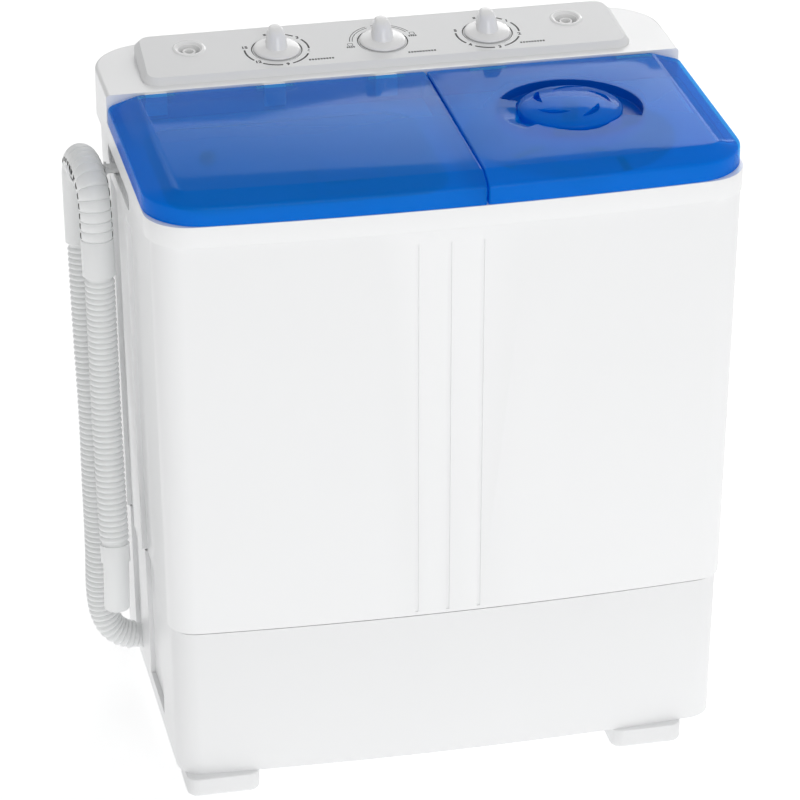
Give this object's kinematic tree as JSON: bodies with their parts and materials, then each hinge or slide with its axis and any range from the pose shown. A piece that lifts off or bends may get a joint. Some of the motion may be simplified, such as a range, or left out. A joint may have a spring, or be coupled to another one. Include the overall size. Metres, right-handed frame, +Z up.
{
  "type": "twin tub washer",
  "caption": "Free-standing twin tub washer with a wash tub and a spin basket under tinted hinged lids, a rear control panel and a side drain hose.",
  "frame": {"origin": "middle of the cabinet's footprint, on the floor under its feet", "axes": "+X to the right of a person facing the front, +Y from the front to the back, +Z up"},
  "size_m": [0.644, 0.4168, 0.7118],
  "materials": {
    "body_white": "satin moulded plastic",
    "base_white": "satin moulded plastic",
    "panel_grey": "smooth satin plastic",
    "lid_blue": "clear tinted gloss plastic",
    "knob_white": "polished plastic",
    "hose_white": "ribbed flexible plastic",
    "hose_fitting": "smooth plastic",
    "tub_white": "smooth moulded polypropylene",
    "pulsator_blue": "smooth moulded polypropylene",
    "inner_grey": "plain moulded plastic",
    "pipe_grey": "flexible plastic",
    "rubber_black": "matt rubber",
    "foot_white": "plain moulded plastic",
    "steel": "plain steel",
    "plated_steel": "zinc plated",
    "motor_paint": "cast, with black enamel",
    "alloy": "cast",
    "back_panel": "matt painted sheet",
    "electrical_black": "plain moulded plastic"
  },
  "bodies": {
    "root": {"back_cover": "back_panel", "back_screws": "plated_steel", "base_pan": "base_white", "brake_bracket": "steel", "brake_cable": "steel", "cabinet_shell": "body_white", "control_panel": "panel_grey", "drain_hose_riser": "hose_white", "drain_hose_tail": "hose_white", "drain_pipe": "pipe_grey", "drain_valve_body": "inner_grey", "drain_valve_cap": "inner_grey", "drain_valve_spring": "steel", "drive_belt": "rubber_black", "feet": "foot_white", "grip_cups": "body_white", "hanger_clip": "hose_fitting", "hinge_pins": "steel", "hose_end": "hose_fitting", "hose_gooseneck": "hose_fitting", "hose_outlet": "hose_fitting", "lid_switch": "electrical_black", "lint_filter": "pulsator_blue", "mains_gland": "electrical_black", "pulsator_bearing": "inner_grey", "run_capacitors": "alloy", "spin_inner_cover": "tub_white", "spin_motor": "motor_paint", "spin_motor_plate": "steel", "spin_outer_tub": "tub_white", "spin_seal": "rubber_black", "spring_seats": "rubber_black", "suspension_springs": "steel", "timer_bodies": "electrical_black", "top_cover": "body_white", "tub_pipes": "pipe_grey", "wash_motor": "motor_paint", "wash_motor_stand": "steel", "wash_tub": "tub_white", "water_inlets": "knob_white"},
    "wash_lid": {"wash_lid": "lid_blue"},
    "spin_lid": {"spin_lid": "lid_blue"},
    "vent_knob": {"vent_knob": "lid_blue"},
    "wash_timer": {"wash_timer_knob": "knob_white"},
    "selector": {"selector_knob": "knob_white"},
    "spin_timer": {"spin_timer_knob": "knob_white"},
    "wash_motor_rotor": {"wash_rotor": "alloy", "motor_pulley": "alloy"},
    "pulsator": {"pulsator": "pulsator_blue", "pulsator_shaft": "steel", "pulsator_pulley": "inner_grey"},
    "spinner": {"spin_basket": "tub_white", "balance_ring": "inner_grey", "spin_shaft": "steel", "brake_drum": "alloy", "spin_rotor": "alloy"},
    "brake": {"brake_lever": "steel"},
    "drain_valve": {"drain_valve_plug": "rubber_black", "drain_valve_stem": "inner_grey", "drain_pull_strap": "inner_grey"}
  },
  "joints": [
    {"name": "wash_lid_hinge", "type": "hinge", "parent": "root", "child": "wash_lid", "pos_m": [-0.128, 0.0675, 0.6685], "axis": [-1, 0, 0], "range_deg": [0, 95]},
    {"name": "spin_lid_hinge", "type": "hinge", "parent": "root", "child": "spin_lid", "pos_m": [0.1725, 0.0675, 0.6685], "axis": [-1, 0, 0], "range_deg": [0, 95]},
    {"name": "vent_turn", "type": "hinge", "parent": "spin_lid", "child": "vent_knob", "pos_m": [0.15, -0.056, 0.668], "axis": [0, 0, 1], "range_deg": [0, 50]},
    {"name": "wash_timer_turn", "type": "hinge", "parent": "root", "child": "wash_timer", "pos_m": [-0.1134, 0.1313, 0.684], "axis": [0, -0.1162, 0.9932], "range_deg": [-290, 0]},
    {"name": "selector_turn", "type": "hinge", "parent": "root", "child": "selector", "pos_m": [-0.002, 0.1313, 0.684], "axis": [0, -0.1162, 0.9932], "range_deg": [-70, 95]},
    {"name": "spin_timer_turn", "type": "hinge", "parent": "root", "child": "spin_timer", "pos_m": [0.1094, 0.1313, 0.684], "axis": [0, -0.1162, 0.9932], "range_deg": [-290, 0]},
    {"name": "wash_motor_spin", "type": "hinge", "parent": "root", "child": "wash_motor_rotor", "pos_m": [-0.13, 0.1, 0.145], "axis": [0, 0, 1], "continuous": true},
    {"name": "pulsator_spin", "type": "hinge", "parent": "root", "child": "pulsator", "pos_m": [-0.134, -0.062, 0.25], "axis": [0, 0, 1], "continuous": true},
    {"name": "basket_spin", "type": "hinge", "parent": "root", "child": "spinner", "pos_m": [0.15, -0.056, 0.3], "axis": [0, 0, 1], "continuous": true},
    {"name": "brake_swing", "type": "hinge", "parent": "root", "child": "brake", "pos_m": [0.212, -0.014, 0.246], "axis": [0, 0, 1], "range_deg": [-2.3, 0]},
    {"name": "drain_valve_lift", "type": "slide", "parent": "root", "child": "drain_valve", "axis": [0, 0, 1], "range_m": [0, 0.008], "stiffness_N_per_m": 500, "springref_m": -0.01, "deforming": ["drain_valve_spring"]}
  ],
  "couplings": [
    {"joint": "pulsator_spin", "follows": "wash_motor_spin", "ratio": 0.27397},
    {"joint": "brake_swing", "follows": "spin_lid_hinge", "ratio": -0.02421}
  ]
}
